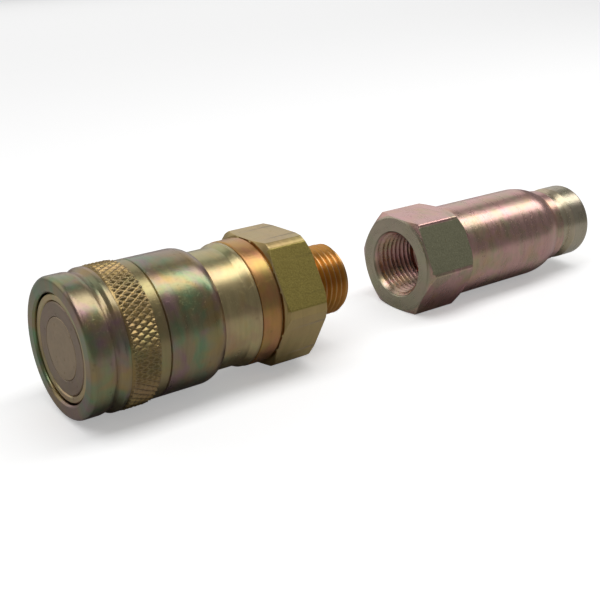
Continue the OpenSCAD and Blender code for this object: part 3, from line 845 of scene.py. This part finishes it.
coil_tree, size, close = shape_tree("coil", [
    ("Start", FLOAT, 0.0), ("Length", FLOAT, 0.02), ("Radius", FLOAT, 0.01),
    ("Wire", FLOAT, 0.001), ("Turns", WHOLE, 8)])
line = put(coil_tree, "GeometryNodeMeshLine", {"Count": size["Turns"] * COIL_STEPS + 1})
done = value_of(put(coil_tree, "GeometryNodeInputIndex")) / float(COIL_STEPS)
closed_rise = size["Wire"] * CLOSED_PITCH
open_turns = size["Turns"] - 2.0
pitch = (size["Length"] - size["Wire"] - closed_rise * 2) / open_turns
travel = done.least(1.0) * closed_rise + (done - 1.0).most(0.0).least(open_turns) * pitch \
    + (done - size["Turns"] + 1.0).most(0.0) * closed_rise
wound = wrapped(coil_tree, line.outputs["Mesh"], size["Start"] + size["Wire"] * 0.5 + travel,
                size["Radius"], done)
path = put(coil_tree, "GeometryNodeMeshToCurve", {"Mesh": wound})
section = put(coil_tree, "GeometryNodeCurvePrimitiveCircle",
              {"Resolution": WIRE_SIDES, "Radius": size["Wire"] * 0.5})
wire = put(coil_tree, "GeometryNodeCurveToMesh",
           {"Curve": path.outputs[0], "Profile Curve": section.outputs[0], "Fill Caps": True})
close(wire.outputs[0])

# Start, end, radius, wire and anchor are in mm; keep is the share of its length that a
# spring still has when its joint is at the limit.
for name, node, start, end, radius, wire, turns, centre, joint, anchor, keep in (
        ("sleeve_coil", "sleeve_spring", 15.43, 29.57, 16.38, 1.2, 5, COUPLER_AXIS,
         "sleeve_slide", 29.6, 0.62),
        ("valve_coil", "valve_spring", 6.03, 40.47, 9.4, 1.2, 8, COUPLER_AXIS,
         "valve_push", 40.5, 0.42),
        ("poppet_coil", "poppet_spring", 27.03, 72.64, 7.6, 1.3, 11, NIPPLE,
         "poppet_push", NIPPLE[0] + 27.0, 0.56)):
    coil = grown(coil_tree, centre, start=start * MM, length=(end - start) * MM,
                 radius=radius * MM, wire=wire * MM, turns=turns)
    bmesh.ops.recalc_face_normals(coil, faces=coil.faces)
    piece = finish_piece(name, coil, "fixed_parts", node, "bare_steel")
    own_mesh(piece)

# %% [markdown]
# ## Finish of the CAD pieces
#
# Every other piece keeps its CAD solid and takes the material of its slot.

# %%
for name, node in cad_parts.items():
    for slot in node.material_slots:
        key = slot.material.name.split(".")[0] if slot.material else ""
        if key in looks:
            slot.material = looks[key]
    print(name, [slot.material.name for slot in node.material_slots])

# %% [markdown]
# ## Floor and light
#
# A plain pale floor. A long soft box overhead draws the bright line on each cylinder, a pale
# wall behind fills the upper side, and the room in front is left dim, which is what gives
# polished metal its dark band. The floor is greyer in the metal than to the camera, so the
# undersides stay dark.

# %%
FLOOR_WHITE, FLOOR_GLOW, FLOOR_IN_METAL = 0.9, 0.36, 0.5
ROOM = 0.17

made, tree, out = blank("floor_paper")
paper = put(tree, "ShaderNodeBsdfDiffuse", {"Color": (FLOOR_WHITE,) * 3 + (1.0,)})
lift = put(tree, "ShaderNodeEmission", {"Color": (1.0, 1.0, 1.0, 1.0), "Strength": FLOOR_GLOW})
seen_paper = put(tree, "ShaderNodeAddShader", {0: paper.outputs[0], 1: lift.outputs[0]})
mirrored = put(tree, "ShaderNodeBsdfDiffuse", {"Color": (FLOOR_IN_METAL,) * 3 + (1.0,)})
ray = put(tree, "ShaderNodeLightPath")
both = put(tree, "ShaderNodeMixShader", {0: ray.outputs["Is Camera Ray"], 1: mirrored.outputs[0],
                                         2: seen_paper.outputs[0]})
tree.links.new(both.outputs[0], out.inputs[0])
bpy.ops.mesh.primitive_circle_add(vertices=96, radius=4.0, fill_type="NGON",
                                  location=(0.1, 0, FLOOR_Z - 0.00002))
floor = bpy.context.object
floor.name = "floor"
floor.data.materials.append(made)


def soft_box(name, place, target, width, depth, radiance):
    """An area light of an even radiance, turned to its target."""
    light = bpy.data.lights.new(name, "AREA")
    light.shape, light.size, light.size_y = "RECTANGLE", width, depth
    light.energy = radiance * math.pi * width * depth
    lamp = bpy.data.objects.new(name, light)
    lamp.location = place
    lamp.rotation_euler = (Vector(target) - Vector(place)).to_track_quat("-Z", "Y").to_euler()
    bpy.context.scene.collection.objects.link(lamp)


soft_box("top_box", (0.3, -0.05, 0.5), (0.3, -0.05, 0.0), 1.5, 0.26, 2.6)
soft_box("back_wall", (0.1, 0.75, 0.42), (0.1, 0.0, 0.05), 2.2, 0.8, 0.65)
world = bpy.data.worlds.new("room")
bpy.context.scene.world = world
world.use_nodes = True
world.node_tree.nodes["Background"].inputs[0].default_value = (ROOM, ROOM, ROOM, 1.0)

# %% [markdown]
# ## Camera
#
# The camera stands to the front left of the coupler, a little above it.

# %%
CAMERA_PLACE = (-0.1055, -0.2400, 0.1141)
AHEAD, RIGHT = Vector((0.56125, 0.74175, -0.36736)), Vector((0.79751, -0.60331, 0.0))

camera = bpy.data.objects.new("camera", bpy.data.cameras.new("camera"))
bpy.context.scene.collection.objects.link(camera)
turn = Matrix((RIGHT, RIGHT.cross(AHEAD), -AHEAD)).transposed()
camera.matrix_world = Matrix.Translation(CAMERA_PLACE) @ turn.to_4x4()
camera.data.lens, camera.data.sensor_width = 66.0, 36.0
camera.data.clip_start = 0.01
bpy.context.scene.camera = camera
bpy.context.scene.view_settings.view_transform = "Standard"
